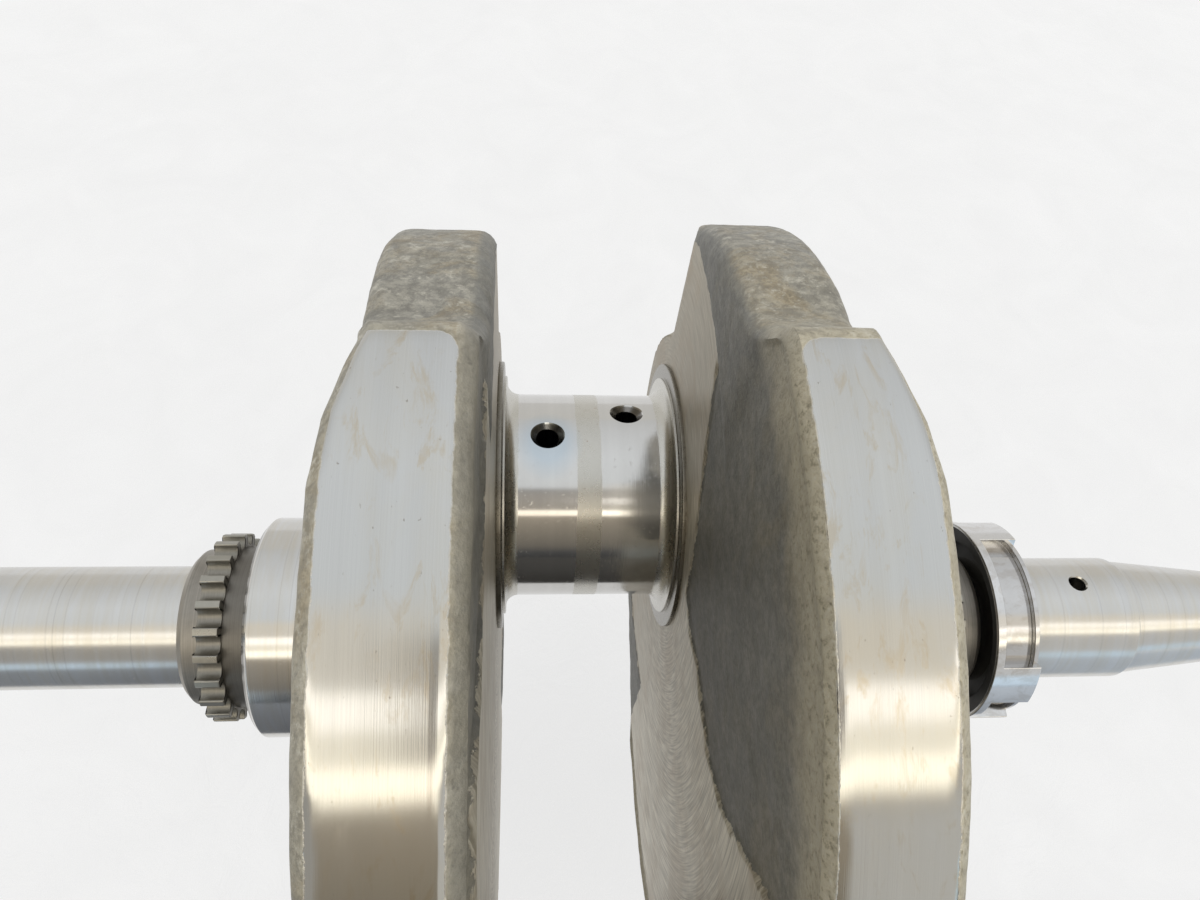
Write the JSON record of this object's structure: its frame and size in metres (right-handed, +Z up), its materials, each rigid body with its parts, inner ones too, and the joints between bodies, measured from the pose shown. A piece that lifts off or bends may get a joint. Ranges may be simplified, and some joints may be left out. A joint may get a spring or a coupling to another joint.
{
  "type": "engine crankshaft",
  "caption": "Forged plain-bearing crankshaft with flywheel webs, a shared crankpin, cam-chain sprockets beside the main journals, a trigger ring and a generator taper.",
  "frame": {"origin": "on the crank axis, half way along the crankpin", "axes": "+X along the crank axis towards the generator taper, +Y from the axis towards the crankpin, +Z up"},
  "size_m": [0.3425, 0.1937, 0.2074],
  "materials": {
    "forged_steel": "forged skin with ground journals and turned rims",
    "sprocket_steel": "dark hardened steel, teeth worn bright",
    "ring_steel": "polished",
    "clip_steel": "spring steel",
    "plug_steel": "dark oxide",
    "key_steel": "bright drawn steel"
  },
  "bodies": {
    "root": {"crank_forging": "forged_steel", "left_cam_sprocket": "sprocket_steel", "right_cam_sprocket": "sprocket_steel", "trigger_ring": "ring_steel", "retaining_clip": "clip_steel", "left_sprocket_dowel": "key_steel", "right_sprocket_dowel": "key_steel", "trigger_ring_dowel": "key_steel", "left_trap_plug": "plug_steel", "right_trap_plug": "plug_steel", "shaft_gallery_plug": "plug_steel", "rotor_key": "key_steel", "drive_key": "key_steel"}
  },
  "joints": []
}
